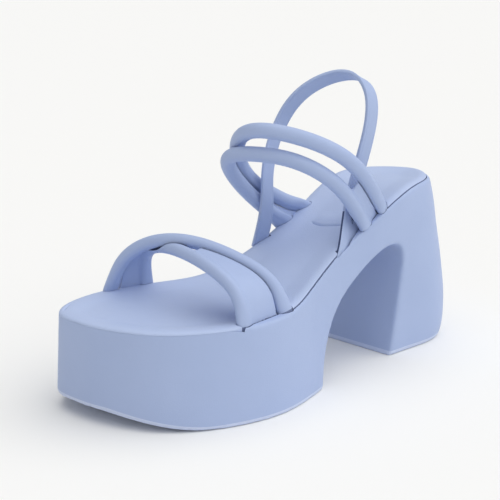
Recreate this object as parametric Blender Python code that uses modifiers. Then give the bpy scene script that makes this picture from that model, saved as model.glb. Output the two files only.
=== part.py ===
"""Strappy platform sandal with a block heel, the left shoe, standing on its sole.

Lengths are in millimetres in the tables below and are turned into metres where a mesh is made.
+Z is up, the toe points to -Y, and the outer side of the foot is at +X.  A station is the distance
back from the toe tip, seen from above.
"""
import math

import bmesh
import bpy
import numpy as np

MM = 0.001
COLLECTION = "platform_sandal"
CUTTERS = "cutters"

# ---- driving sizes ----------------------------------------------------------------------------
GAP = 0.3                 # clearance that touching pieces keep
OUTSOLE_THICKNESS = 2.2
HEEL_TIP_THICKNESS = 2.6
INSOLE_THICKNESS = 3.2    # at its edge
INSOLE_CROWN = 1.0        # how far the insole stands above the rim line
TOE_TUBE = 6.6            # diameter of the padded tubes over the toes
INSTEP_TUBE = 8.0         # diameter of the padded tubes over the instep
PANEL_THICKNESS = 2.0     # side panels that join two tubes
PANEL_SHIFT = 0.6         # how far the panels lie outside the tubes' centre lines
SLING_WIDTH = 8.6
SLING_THICKNESS = 2.0
TOE_SPRING = 8.0          # height of the sole's lowest edge at the toe tip
SPRING_LENGTH = 36.0
PLATFORM_FLARE = 3.2      # how far the platform's wall stands out at the floor
SOLE_TOP_DROP = INSOLE_THICKNESS - INSOLE_CROWN + GAP   # sole top below the rim line

# ---- the outline from above -------------------------------------------------------------------
TOE_TIP = (-18.0, 0.0)      # across, station
HEEL_BACK = (0.7, 226.5)
PLAN = (
    # station, outer side, inner side
    (1.0, -3.6, -29.8),
    (5.0, 10.0, -36.4),
    (11.0, 22.0, -41.7),
    (19.0, 31.0, -45.8),
    (28.0, 37.5, -48.4),
    (40.0, 43.2, -49.8),
    (55.0, 47.5, -47.3),
    (70.0, 48.8, -42.0),
    (85.0, 46.2, -34.3),
    (100.0, 41.4, -27.6),
    (120.0, 35.1, -23.4),
    (140.0, 32.0, -22.8),
    (160.0, 32.3, -23.8),
    (178.0, 32.2, -25.6),
    (195.0, 28.5, -27.2),
    (209.0, 23.2, -23.6),
    (219.0, 15.5, -15.8),
)
RIM = (
    # station, height of the rim line
    (0.0, 48.0),
    (40.0, 47.2),
    (75.0, 47.6),
    (90.0, 49.3),
    (105.0, 54.0),
    (120.0, 60.0),
    (140.0, 69.0),
    (160.0, 78.3),
    (174.0, 85.0),
    (188.0, 88.9),
    (205.0, 89.7),
    (226.5, 89.5),
)

# ---- heel block and arch, seen from the side --------------------------------------------------
HEEL_FRONT = 170.5          # station of the heel block's front edge on the floor
HEEL_BASE_BACK = 226.5
HEEL_BASE_HALF_WIDTH = 31.5
HEEL_BASE_CENTRE = -0.3
HEEL_BASE_SQUARENESS = 3.2
HEEL_TAPER_START = 22.0     # height where the block starts to take the seat's outline
HEEL_BLOCK_START = 165.0    # station where the block's shape takes over from the waist's
HEEL_BLEND = 15.0           # length over which it takes over at the floor
HEEL_WALL_BLEND = (150.0, 173.0)    # stations between which the wall above it follows
SWELL_START = (177.0, 207.0)        # stations between which the back's swell comes in
FLARE_END = (100.0, 150.0)          # stations between which the platform's flare ends
ARCH_BACK_SLOPE = 0.9       # how far the block's front edge leans back over the heel tip
PLATFORM_BACK_SLOPE = 0.5   # and how far the platform's back edge does over the outsole
HEEL_SWELL = (
    # height, how far the back of the block swells out there
    (0.0, 1.2),
    (5.0, 2.6),
    (14.0, 3.6),
    (24.0, 3.7),
    (36.0, 3.3),
    (50.0, 3.1),
    (64.0, 2.7),
    (79.0, 2.1),
    (90.0, 0.3),
)
ARCH = (
    # station, height, from the heel block's front edge over to the platform's back edge
    (170.5, 0.0),
    (173.6, 14.0),
    (176.6, 27.5),
    (179.1, 42.0),
    (180.4, 53.0),
    (178.6, 59.4),
    (172.2, 61.4),
    (163.7, 59.8),
    (153.2, 54.8),
    (141.4, 47.0),
    (131.5, 39.6),
    (122.9, 30.9),
    (116.0, 20.5),
    (111.8, 10.5),
    (109.4, 0.0),
)

# ---- strap routes, outer side over to the inner side ------------------------------------------
# across, station, height of the strap's centre line
TOE_REAR = (
    (42.4, 80.8, 48.0),
    (37.1, 77.3, 62.0),
    (21.0, 70.5, 72.0),
    (-1.0, 61.5, 78.0),
    (-23.5, 53.5, 75.5),
    (-39.5, 47.5, 64.0),
    (-46.5, 44.5, 47.0),
)
TOE_FRONT = (
    (42.8, 53.8, 47.5),
    (39.4, 52.9, 61.5),
    (24.5, 52.5, 70.5),
    (1.0, 54.0, 75.0),
    (-21.5, 57.0, 73.0),
    (-37.0, 60.5, 64.5),
    (-41.5, 64.5, 47.5),
)
INSTEP_FRONT = (
    (28.2, 153.0, 75.0),
    (30.5, 130.0, 100.5),
    (18.5, 112.5, 113.5),
    (0.0, 102.5, 116.0),
    (-17.5, 101.0, 111.5),
    (-22.5, 115.0, 94.0),
    (-19.5, 142.5, 70.0),
)
INSTEP_REAR = (
    (27.4, 166.2, 82.0),
    (33.2, 137.0, 111.5),
    (20.0, 114.0, 125.5),
    (1.0, 102.5, 128.0),
    (-17.0, 107.0, 118.5),
    (-25.0, 121.5, 98.0),
    (-19.5, 155.0, 76.0),
)
SLING = (
    # across, station, height, degrees that the band's width leans back from level
    (31.0, 132.5, 60.5, 40.0),
    (30.0, 135.8, 66.5, 40.0),
    (22.6, 148.0, 84.5, 40.0),
    (22.6, 158.0, 110.0, 32.0),
    (20.5, 166.5, 139.0, 15.0),
    (8.0, 165.5, 149.5, 33.0),
    (-11.5, 151.0, 141.5, 42.0),
    (-20.5, 139.5, 122.0, 40.0),
    (-17.7, 128.5, 101.0, 40.0),
    (-15.7, 125.5, 83.0, 40.0),
    (-21.5, 125.5, 62.0, 40.0),
)
# length up each tube, from its foot, that a side panel fills
TOE_PANEL_OUTER = (56.0, 60.0)       # along TOE_FRONT, along TOE_REAR
TOE_PANEL_INNER = (20.0, 22.0)
INSTEP_PANEL_OUTER = (28.0, 34.0)    # along INSTEP_FRONT, along INSTEP_REAR
INSTEP_PANEL_INNER = (32.0, 34.0)

# ---- mesh fineness ----------------------------------------------------------------------------
OUTLINE_ROWS = 37
PROFILE_ROWS = 57         # along a cut that follows the rim line
OUTSOLE_ROWS = 25
ARCH_ROWS = 36
PANEL_COLUMNS = 4
SLING_COLUMNS = 3
WALL_HEIGHTS = (-10.0, 0.0, 5.0, 11.0, 18.0, 26.0, 36.0, 48.0, 60.0, 72.0, 82.0, 90.0, 110.0)
BEYOND_TOE = -20.0        # stations and height past the shoe, where cutters end
BEYOND_HEEL = 260.0
BELOW_FLOOR = -20.0
CUTTER_HALF_WIDTH = 90.0
TUBE_STEP = 4.2
TUBE_RESOLUTION = 3       # Blender's bevel resolution
PANEL_ROWS = 11
SLING_STEP = 4.0
FOOT_EXTRA = 9.0          # how far a strap's foot is carried down before it is cut to the sole
NOTCH_DEPTH = 9.0         # reach of the insole's notches past a strap
NOTCH_GAP = 0.5           # clearance of those notches

# The frame's origin is below the middle of the shoe, on the floor.
CENTRE_X = -0.48
CENTRE_STATION = 113.8

SOFT_BLUE = (0.42, 0.50, 0.76)
RUBBER_BLUE = (0.46, 0.54, 0.78)
LINING_BLUE = (0.44, 0.52, 0.77)


# ---- curves -----------------------------------------------------------------------------------
def spline(knots, values, at, closed=False):
    """Values at other places on the curve of continuous bend through the rows."""
    knots = np.asarray(knots, float)
    values = np.asarray(values, float).reshape(len(knots), -1)
    steps = np.diff(knots)
    rates = np.diff(values, axis=0) / steps[:, None]
    count = len(knots) - 1 if closed else len(knots)
    matrix = np.zeros((count, count))
    right = np.zeros((count, values.shape[1]))
    for row in range(count):
        if not closed and row in (0, count - 1):
            near = 0 if row == 0 else count - 2
            matrix[row, near] = 2.0 if row == 0 else 1.0
            matrix[row, near + 1] = 1.0 if row == 0 else 2.0
            right[row] = 3.0 * rates[near]
            continue
        before = (row - 1) % len(steps)
        matrix[row, (row - 1) % count] += 1.0 / steps[before]
        matrix[row, row] += 2.0 * (1.0 / steps[before] + 1.0 / steps[row])
        matrix[row, (row + 1) % count] += 1.0 / steps[row]
        right[row] = 3.0 * (rates[before] / steps[before] + rates[row] / steps[row])
    slopes = np.linalg.solve(matrix, right)
    if closed:
        slopes = np.vstack([slopes, slopes[:1]])
    at = np.asarray(at, float)
    left = np.clip(np.searchsorted(knots, at, side="right") - 1, 0, len(steps) - 1)
    width = steps[left][:, None]
    part = ((at - knots[left]) / steps[left])[:, None]
    from_left = (1 + 2 * part) * (1 - part) ** 2 * values[left]
    from_right = part ** 2 * (3 - 2 * part) * values[left + 1]
    bend = part * (1 - part) * width * ((1 - part) * slopes[left] - part * slopes[left + 1])
    return from_left + from_right + bend


def smooth_step(low, high, value):
    part = np.clip((np.asarray(value, float) - low) / (high - low), 0.0, 1.0)
    return part * part * (3.0 - 2.0 * part)


def route(rows, step):
    """Evenly spaced points along a smooth curve through a strap's rows, in the frame's axes.

    Columns after the first three ride along unchanged.
    """
    rows = np.asarray(rows, float)
    hops = np.linalg.norm(np.diff(rows[:, :3], axis=0), axis=1) ** 0.5
    knots = np.concatenate([[0.0], np.cumsum(hops)])
    fine = spline(knots, rows, np.linspace(0.0, knots[-1], 400))
    run = np.concatenate([[0.0], np.cumsum(np.linalg.norm(np.diff(fine[:, :3], axis=0), axis=1))])
    places = np.linspace(0.0, run[-1], max(2, int(round(run[-1] / step)) + 1))
    points = np.stack([np.interp(places, run, column) for column in fine.T], axis=1)
    points[:, 0] -= CENTRE_X
    points[:, 1] -= CENTRE_STATION
    return points


def rim_height(station):
    knots = [row[0] for row in RIM]
    heights = [row[1] for row in RIM]
    return spline(knots, heights, np.clip(station, knots[0], knots[-1]))[:, 0]


def spring_height(station):
    rise = np.clip(1.0 - np.asarray(station, float) / SPRING_LENGTH, 0.0, 1.0)
    return TOE_SPRING * rise ** 2


def plan_outline():
    """The outline from above, once round: toe tip, outer side, heel back, inner side."""
    outer = [(row[1], row[0]) for row in PLAN]
    inner = [(row[2], row[0]) for row in reversed(PLAN)]
    corners = np.array([TOE_TIP] + outer + [HEEL_BACK] + inner + [TOE_TIP])
    knots = np.concatenate([[0.0], np.cumsum(np.linalg.norm(np.diff(corners, axis=0), axis=1) ** 0.7)])
    back = knots[len(outer) + 1]
    outer_curve = spline(knots, corners, np.linspace(0.0, back, 500), closed=True)
    inner_curve = spline(knots, corners, np.linspace(knots[-1], back, 500), closed=True)
    return outer_curve, inner_curve


def outline_stations():
    """Stations from toe to heel, close together where the outline turns."""
    turn = np.linspace(0.0, math.pi, OUTLINE_ROWS)
    return HEEL_BACK[1] * (1.0 - np.cos(turn)) / 2.0


def ring_from_sides(outer, inner):
    return np.vstack([outer, inner[-2:0:-1]])


def rim_ring():
    outer_curve, inner_curve = plan_outline()
    stations = outline_stations()
    sides = []
    for curve in (outer_curve, inner_curve):
        order = np.maximum.accumulate(curve[:, 1])
        across = np.interp(stations, order, curve[:, 0])
        sides.append(np.stack([across, stations], axis=1))
    sides[0][0] = sides[1][0] = TOE_TIP
    sides[0][-1] = sides[1][-1] = HEEL_BACK
    return ring_from_sides(*sides)


def outward(ring):
    """Unit directions in plan that point out of a closed ring."""
    along = np.roll(ring, -1, axis=0) - np.roll(ring, 1, axis=0)
    normal = np.stack([along[:, 1], -along[:, 0]], axis=1)
    return normal / np.linalg.norm(normal, axis=1)[:, None]


def floor_ring(ring):
    """The wall's outline at the floor: a flared platform and the squarer foot of the heel block."""
    flared = ring + outward(ring) * PLATFORM_FLARE
    block_length = HEEL_BASE_BACK - HEEL_FRONT
    share = (ring[:, 1] - HEEL_BLOCK_START) / (HEEL_BACK[1] - HEEL_BLOCK_START)
    share = np.clip(share, 0.0, 1.0)
    reach = (1.0 - share ** HEEL_BASE_SQUARENESS) ** (1.0 / HEEL_BASE_SQUARENESS)
    side = np.where(np.arange(len(ring)) < OUTLINE_ROWS, 1.0, -1.0)
    block = np.stack([
        HEEL_BASE_CENTRE + side * reach * HEEL_BASE_HALF_WIDTH,
        HEEL_FRONT + share * block_length,
    ], axis=1)
    weight = smooth_step(HEEL_BLOCK_START - HEEL_BLEND, HEEL_BLOCK_START, ring[:, 1])[:, None]
    block[:, 1] = np.where(share > 0.0, block[:, 1], ring[:, 1] + HEEL_FRONT - HEEL_BLOCK_START)
    return flared * (1.0 - weight) + block * weight


def wall_ring(ring, base, height):
    """The wall's outline at one height."""
    station = ring[:, 1]
    platform = 1.0 - height / RIM[0][1]
    block = 1.0 - smooth_step(HEEL_TAPER_START, RIM[-1][1], height)
    heel_share = smooth_step(*HEEL_WALL_BLEND, station)
    front_share = 1.0 - smooth_step(*FLARE_END, station)
    share = heel_share * block + (1.0 - heel_share) * front_share * np.clip(platform, -0.25, 1.0)
    knots = [row[0] for row in HEEL_SWELL]
    swell = spline(knots, [row[1] for row in HEEL_SWELL], [height])[0, 0]
    back_share = smooth_step(*SWELL_START, station)
    return ring + (base - ring) * share[:, None] + outward(ring) * (swell * back_share)[:, None]


# ---- meshes -----------------------------------------------------------------------------------
def in_frame(plan, heights):
    return np.column_stack([plan[:, 0] - CENTRE_X, plan[:, 1] - CENTRE_STATION, heights])


def link(name, mesh, collection, colour=None, roughness=0.5):
    thing = bpy.data.objects.new(name, mesh)
    bpy.data.collections[collection].objects.link(thing)
    if collection == CUTTERS:
        thing.hide_render = True
        thing.display_type = "WIRE"
        return thing
    material = bpy.data.materials.new(name + "_finish")
    material.use_nodes = True
    shader = material.node_tree.nodes["Principled BSDF"]
    shader.inputs["Base Color"].default_value = (*colour, 1.0)
    shader.inputs["Roughness"].default_value = roughness
    shader.inputs["Metallic"].default_value = 0.0
    mesh.materials.clear()
    mesh.materials.append(material)
    return thing


def loft(name, rings, flat_caps):
    """A closed mesh through rings of equal length, first ring lowest.

    Flat caps are single faces.  Other caps are strips between the outer and the inner side.
    """
    work = bmesh.new()
    loops = [[work.verts.new(point * MM) for point in ring] for ring in rings]
    count = len(loops[0])
    for low, high in zip(loops, loops[1:]):
        for place in range(count):
            after = (place + 1) % count
            work.faces.new((low[place], low[after], high[after], high[place]))
    for loop in (loops[0], loops[-1]):
        if flat_caps:
            work.faces.new(loop)
            continue
        rows = count // 2
        for row in range(rows):
            corners = [loop[row], loop[row + 1], loop[count - row - 1], loop[(count - row) % count]]
            corners = list(dict.fromkeys(corners))
            if len(corners) > 2:
                work.faces.new(corners)
    bmesh.ops.recalc_face_normals(work, faces=work.faces)
    mesh = bpy.data.meshes.new(name)
    work.to_mesh(mesh)
    work.free()
    return mesh


def side_slab(name, profile):
    """A profile of (station, height) points, extruded across the shoe as a cutter."""
    low = np.array([(-CUTTER_HALF_WIDTH, station - CENTRE_STATION, height) for station, height in profile])
    high = low * (-1.0, 1.0, 1.0)
    return link(name, loft(name, (low, high), flat_caps=True), CUTTERS)


def boolean(thing, operation, other, solver="EXACT"):
    step = thing.modifiers.new(operation.lower() + "_" + other.name, "BOOLEAN")
    step.operation = operation
    step.object = other
    step.solver = solver


def arch_curve():
    rows = np.array(ARCH)
    knots = np.concatenate([[0.0], np.cumsum(np.linalg.norm(np.diff(rows, axis=0), axis=1) ** 0.5)])
    curve = spline(knots, rows, np.linspace(0.0, knots[-1], ARCH_ROWS))
    return [tuple(point) for point in curve]


def sole_profile():
    """Side view of the moulded sole unit, from the toe along its underside and back on top."""
    stations = np.linspace(BEYOND_TOE, FLARE_END[0], OUTSOLE_ROWS)
    under = [(s, h + OUTSOLE_THICKNESS + GAP) for s, h in zip(stations, spring_height(stations))]
    arch = [point for point in reversed(arch_curve()) if point[1] > HEEL_TIP_THICKNESS + GAP + 1.0]
    platform_back = (ARCH[-1][0] + PLATFORM_BACK_SLOPE, OUTSOLE_THICKNESS + GAP)
    block_front = (ARCH[0][0] + ARCH_BACK_SLOPE, HEEL_TIP_THICKNESS + GAP)
    block_back = (BEYOND_HEEL, HEEL_TIP_THICKNESS + GAP)
    top_stations = np.linspace(BEYOND_HEEL, BEYOND_TOE, PROFILE_ROWS)
    top = [(s, h - SOLE_TOP_DROP) for s, h in zip(top_stations, rim_height(top_stations))]
    return under + [platform_back] + arch + [block_front, block_back] + top


def outsole_profile():
    stations = np.linspace(BEYOND_TOE, FLARE_END[0], OUTSOLE_ROWS)
    low = list(zip(stations, spring_height(stations)))
    back = ARCH[-1][0]
    high = [(s, h + OUTSOLE_THICKNESS) for s, h in reversed(low)]
    return low + [(back, 0.0), (back + PLATFORM_BACK_SLOPE, OUTSOLE_THICKNESS)] + high


def below_profile():
    """Everything below a line that runs GAP above the sole unit's top."""
    stations = np.linspace(BEYOND_TOE, BEYOND_HEEL, PROFILE_ROWS)
    line = [(s, h - SOLE_TOP_DROP + GAP) for s, h in zip(stations, rim_height(stations))]
    return [(BEYOND_HEEL, BELOW_FLOOR), (BEYOND_TOE, BELOW_FLOOR)] + line


def build_sole():
    """The moulded unit of platform, waist and block heel, with its outsole and heel tip."""
    ring = rim_ring()
    base = floor_ring(ring)
    rings = [in_frame(wall_ring(ring, base, np.clip(h, 0.0, RIM[-1][1])), np.full(len(ring), h))
             for h in WALL_HEIGHTS]
    front = ARCH[0][0]
    tip_profile = [(front, 0.0), (BEYOND_HEEL, 0.0), (BEYOND_HEEL, HEEL_TIP_THICKNESS),
                   (front + ARCH_BACK_SLOPE, HEEL_TIP_THICKNESS)]
    pieces = (
        ("sole_unit", sole_profile(), SOFT_BLUE, 0.45),
        ("outsole_forefoot", outsole_profile(), RUBBER_BLUE, 0.6),
        ("heel_tip", tip_profile, RUBBER_BLUE, 0.6),
    )
    for name, profile, colour, roughness in pieces:
        piece = link(name, loft(name, rings, flat_caps=True), COLLECTION, colour, roughness)
        boolean(piece, "INTERSECT", side_slab(name + "_profile", profile))
    return ring


def build_insole(ring, clearances):
    """The padded insole, its edge rolled over the top of the wall and notched round each strap."""
    steps = (
        # inset, height above the rim line
        (0.3, INSOLE_CROWN - INSOLE_THICKNESS),
        (0.0, -0.9),
        (0.4, 0.2),
        (1.2, 0.8),
        (2.8, INSOLE_CROWN),
    )
    normal = outward(ring)
    rings = []
    for inset, lift in steps:
        plan = ring - normal * inset
        rings.append(in_frame(plan, rim_height(plan[:, 1]) + lift))
    insole = link("insole", loft("insole", rings, flat_caps=False), COLLECTION, LINING_BLUE, 0.5)
    for clearance in clearances:
        # The exact solver drops most of the insole at the thick inner panel's folds.
        boolean(insole, "DIFFERENCE", clearance, solver="MANIFOLD")


def tube(name, points, diameter, collection):
    """A padded tube along points, as a closed mesh."""
    curve = bpy.data.curves.new(name, "CURVE")
    curve.dimensions = "3D"
    curve.bevel_depth = diameter / 2 * MM
    curve.bevel_resolution = TUBE_RESOLUTION
    curve.use_fill_caps = True
    line = curve.splines.new("POLY")
    line.points.add(len(points) - 1)
    for place, point in zip(line.points, points):
        place.co = (*(point * MM), 1.0)
    guide = bpy.data.objects.new(name + "_guide", curve)
    bpy.data.collections[CUTTERS].objects.link(guide)
    graph = bpy.context.evaluated_depsgraph_get()
    mesh = bpy.data.meshes.new_from_object(guide.evaluated_get(graph), depsgraph=graph)
    mesh.name = name
    work = bmesh.new()
    work.from_mesh(mesh)
    bmesh.ops.remove_doubles(work, verts=work.verts, dist=0.00001)
    bmesh.ops.recalc_face_normals(work, faces=work.faces)
    work.to_mesh(mesh)
    work.free()
    bpy.data.objects.remove(guide)
    return link(name, mesh, collection, SOFT_BLUE, 0.45)


def walk(points, lengths):
    """Points at given lengths along a polyline."""
    run = np.concatenate([[0.0], np.cumsum(np.linalg.norm(np.diff(points, axis=0), axis=1))])
    return np.stack([np.interp(lengths, run, points[:, axis]) for axis in range(3)], axis=1)


def carry_feet(points):
    """The same line with each end carried on, down into the sole, where a cut ends it."""
    ends = []
    for last, before in ((points[0], points[1]), (points[-1], points[-2])):
        ends.append(last + (last - before) / np.linalg.norm(last - before) * FOOT_EXTRA)
    return np.vstack([ends[0], points, ends[1]])


def sheet(name, rows, collection, inward, outward_by):
    """A strip through rows of points, thickened to both sides of them."""
    work = bmesh.new()
    grid = [[work.verts.new(point * MM) for point in row] for row in rows]
    for low, high in zip(grid, grid[1:]):
        for column in range(len(low) - 1):
            work.faces.new((low[column], low[column + 1], high[column + 1], high[column]))
    mesh = bpy.data.meshes.new(name)
    work.to_mesh(mesh)
    work.free()
    strip = link(name, mesh, collection, SOFT_BLUE, 0.55)
    shell = strip.modifiers.new("thickness", "SOLIDIFY")
    shell.thickness = (inward + outward_by) * MM
    shell.offset = (outward_by - inward) / (outward_by + inward)
    return strip


def side_panel(name, edges, inward, outward_by):
    """The leather between the feet of two tubes, from inward to outward_by off their centre lines.

    Each edge is a tube's centre line and the length of it that the panel fills.  The first edge
    lies on the left of the second one, seen from outside the shoe.
    """
    shares = np.linspace(0.0, 1.0, PANEL_ROWS)
    first, second = (walk(line, shares * length) for line, length in edges)
    parts = np.linspace(0.0, 1.0, PANEL_COLUMNS)[:, None]
    rows = [start + (end - start) * parts for start, end in zip(first, second)]
    return sheet(name, rows, CUTTERS, inward, outward_by)


def strap_pair(name, rows_front, rows_rear, diameter, outer, inner, collection, grow=0.0):
    """Two tubes over the foot and the side panels between their feet, joined as one solid."""
    front = carry_feet(route(rows_front, TUBE_STEP))
    rear = carry_feet(route(rows_rear, TUBE_STEP))
    size = diameter + 2 * grow
    pair = tube(name, front, size, collection)
    boolean(pair, "UNION", tube(name + "_rear", rear, size, CUTTERS))
    inward = PANEL_THICKNESS / 2 - PANEL_SHIFT + grow
    outward_by = PANEL_THICKNESS / 2 + PANEL_SHIFT if grow == 0.0 else NOTCH_DEPTH
    for side, lengths, turn in (("outer", outer, 1), ("inner", inner, -1)):
        edges = [(tube_line[::turn], length + FOOT_EXTRA) for tube_line, length in zip((front, rear), lengths)]
        edges.sort(key=lambda edge: turn * edge[0][0][1])
        panel = side_panel(name + "_" + side, edges, inward, outward_by)
        boolean(pair, "UNION", panel)
    return pair


def build_straps():
    """The toe strap and the instep strap, and the wider copies that notch the insole."""
    clearances = []
    for name, front, rear, diameter, outer, inner in (
        ("toe_strap", TOE_FRONT, TOE_REAR, TOE_TUBE, TOE_PANEL_OUTER, TOE_PANEL_INNER),
        ("instep_strap", INSTEP_FRONT, INSTEP_REAR, INSTEP_TUBE, INSTEP_PANEL_OUTER, INSTEP_PANEL_INNER),
    ):
        pair = strap_pair(name, front, rear, diameter, outer, inner, COLLECTION)
        boolean(pair, "DIFFERENCE", side_slab(name + "_foot", below_profile()))
        copy = strap_pair(name + "_clearance", front, rear, diameter, outer, inner, CUTTERS, NOTCH_GAP)
        clearances.append(copy)
    return clearances


def sling_rows(width):
    """Points across the flat band, row after row along its route."""
    rows = route(SLING, SLING_STEP)
    points = carry_feet(rows[:, :3])
    angle = np.radians(np.pad(rows[:, 3], 1, mode="edge"))
    lean = np.column_stack([np.zeros(len(angle)), -np.cos(angle), np.sin(angle)])
    along = np.gradient(points, axis=0)
    along /= np.linalg.norm(along, axis=1)[:, None]
    across = lean - np.sum(along * lean, axis=1)[:, None] * along
    across /= np.linalg.norm(across, axis=1)[:, None]
    parts = np.linspace(0.5, -0.5, SLING_COLUMNS)[:, None]
    return [point + side * parts * width for point, side in zip(points, across)]


def build_sling():
    """The flat elastic band round the back of the heel, and the copy that notches the insole."""
    half = SLING_THICKNESS / 2
    band = sheet("sling_strap", sling_rows(SLING_WIDTH), COLLECTION, half, half)
    boolean(band, "DIFFERENCE", side_slab("sling_foot", below_profile()))
    rows = sling_rows(SLING_WIDTH + 2 * NOTCH_GAP)
    return sheet("sling_clearance", rows, CUTTERS, half + NOTCH_GAP, NOTCH_DEPTH)


def main():
    for thing in list(bpy.data.objects):
        bpy.data.objects.remove(thing, do_unlink=True)
    for name in (COLLECTION, CUTTERS):
        bpy.context.scene.collection.children.link(bpy.data.collections.new(name))
    ring = build_sole()
    build_insole(ring, build_straps() + [build_sling()])
    for thing in bpy.data.collections[COLLECTION].objects:
        thing.data.shade_smooth()
        thing.data.set_sharp_from_angle(angle=math.radians(35.0))


main()
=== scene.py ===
"""Looks of a strappy platform sandal with a block heel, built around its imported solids.

Lengths in the tables are in millimetres, and meshes are in metres, in the solids' frame: +Z is up,
the toe points to -Y, and the outer side of this left shoe is at +X.  A station is the distance back
from the toe tip, seen from above.
"""
import math

import bmesh
import bpy
import numpy as np
from mathutils import Matrix, Vector
from mathutils.geometry import delaunay_2d_cdt
from mathutils.kdtree import KDTree


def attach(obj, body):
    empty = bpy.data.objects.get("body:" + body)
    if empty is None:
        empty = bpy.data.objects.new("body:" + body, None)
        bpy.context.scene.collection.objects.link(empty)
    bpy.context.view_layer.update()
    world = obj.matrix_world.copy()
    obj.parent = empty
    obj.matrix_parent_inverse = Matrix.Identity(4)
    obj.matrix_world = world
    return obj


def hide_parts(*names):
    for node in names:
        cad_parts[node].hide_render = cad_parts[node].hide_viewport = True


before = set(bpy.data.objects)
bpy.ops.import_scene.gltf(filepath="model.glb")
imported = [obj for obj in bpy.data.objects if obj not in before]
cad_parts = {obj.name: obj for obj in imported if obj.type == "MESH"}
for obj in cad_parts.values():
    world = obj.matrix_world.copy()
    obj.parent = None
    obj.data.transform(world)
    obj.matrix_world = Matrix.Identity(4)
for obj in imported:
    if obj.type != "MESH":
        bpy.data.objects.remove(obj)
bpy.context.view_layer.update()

MM = 0.001

# ---- driving sizes ----
OUTSOLE_THICKNESS = 2.2
HEEL_TIP_THICKNESS = 2.6
INSOLE_THICKNESS = 3.2  # at its edge
INSOLE_CROWN = 1.0      # how far the insole stands above the rim line
TOE_TUBE = 6.6          # diameter of the padded tubes over the toes
INSTEP_TUBE = 8.0       # diameter of the padded tubes over the instep
PANEL_THICKNESS = 2.0   # side panels that join two tubes
PANEL_SHIFTS = {
    # outer and inner panel: how far each lies outside the middles of the front and rear tubes
    "toe": ((1.5, -0.2), (0.5, 2.2)),
    "instep": ((1.5, -0.2), (1.5, -0.2)),
}
SLING_WIDTH = 8.6
SLING_THICKNESS = 2.0
TOE_SPRING = 8.0  # height of the sole's lowest edge at the toe tip
SPRING_LENGTH = 36.0
PLATFORM_FLARE = 3.2  # how far the platform's wall stands out at the floor
BED_SINK = 0.3        # how much deeper than the insole its bed lies
BED_DROP = INSOLE_THICKNESS - INSOLE_CROWN + BED_SINK  # bed of the insole below the rim line

# ---- the outline from above ----
TOE_TIP = (-18.0, 0.0)  # across, station
HEEL_BACK = (0.7, 226.5)
PLAN = (
    # station, outer side, inner side
    (1.0, -3.6, -29.8),
    (5.0, 10.0, -36.4),
    (11.0, 22.0, -41.7),
    (19.0, 31.0, -45.8),
    (28.0, 37.5, -48.4),
    (40.0, 43.2, -49.8),
    (55.0, 47.5, -47.3),
    (70.0, 48.8, -42.0),
    (85.0, 46.2, -34.3),
    (100.0, 41.4, -27.6),
    (120.0, 35.1, -23.4),
    (140.0, 32.0, -22.8),
    (160.0, 32.3, -23.8),
    (178.0, 32.2, -25.6),
    (195.0, 28.5, -27.2),
    (209.0, 23.2, -23.6),
    (219.0, 15.5, -15.8),
)
RIM = (
    # station, height of the rim line
    (0.0, 48.0),
    (40.0, 47.2),
    (75.0, 47.6),
    (90.0, 49.3),
    (105.0, 54.0),
    (120.0, 60.0),
    (140.0, 69.0),
    (160.0, 78.3),
    (174.0, 85.0),
    (188.0, 88.9),
    (205.0, 89.7),
    (226.5, 89.5),
)

# ---- heel block and arch, seen from the side ----
HEEL_FRONT = 170.5  # station of the heel block's front edge on the floor
HEEL_BASE_BACK = 226.5
HEEL_BASE_HALF_WIDTH = 31.5
HEEL_BASE_CENTRE = -0.3
HEEL_BASE_SQUARENESS = 3.2
HEEL_TAPER_START = 22.0           # height where the block starts to take the seat's outline
HEEL_BLOCK_START = 165.0          # station where the block's shape takes over from the waist's
HEEL_BLEND = 15.0                 # length over which it takes over at the floor
HEEL_WALL_BLEND = (150.0, 173.0)  # stations between which the wall above it follows
SWELL_START = (177.0, 207.0)      # stations between which the back's swell comes in
FLARE_END = (100.0, 150.0)        # stations between which the platform's flare ends
FLARE_ABOVE = -0.25               # least share of the flare, above the rim line
HEEL_SWELL = (
    # height, how far the back of the block swells out there
    (0.0, 1.2),
    (5.0, 2.6),
    (14.0, 3.6),
    (24.0, 3.7),
    (36.0, 3.3),
    (50.0, 3.1),
    (64.0, 2.7),
    (79.0, 2.1),
    (90.0, 0.3),
)
ARCH = (
    # station, height, from the heel block's front edge over to the platform's back edge
    (170.5, 0.0),
    (173.6, 14.0),
    (176.6, 27.5),
    (179.1, 42.0),
    (180.4, 53.0),
    (178.6, 59.4),
    (172.2, 61.4),
    (163.7, 59.8),
    (153.2, 54.8),
    (141.4, 47.0),
    (131.5, 39.6),
    (122.9, 30.9),
    (116.0, 20.5),
    (111.8, 10.5),
    (109.4, 0.0),
)

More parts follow.
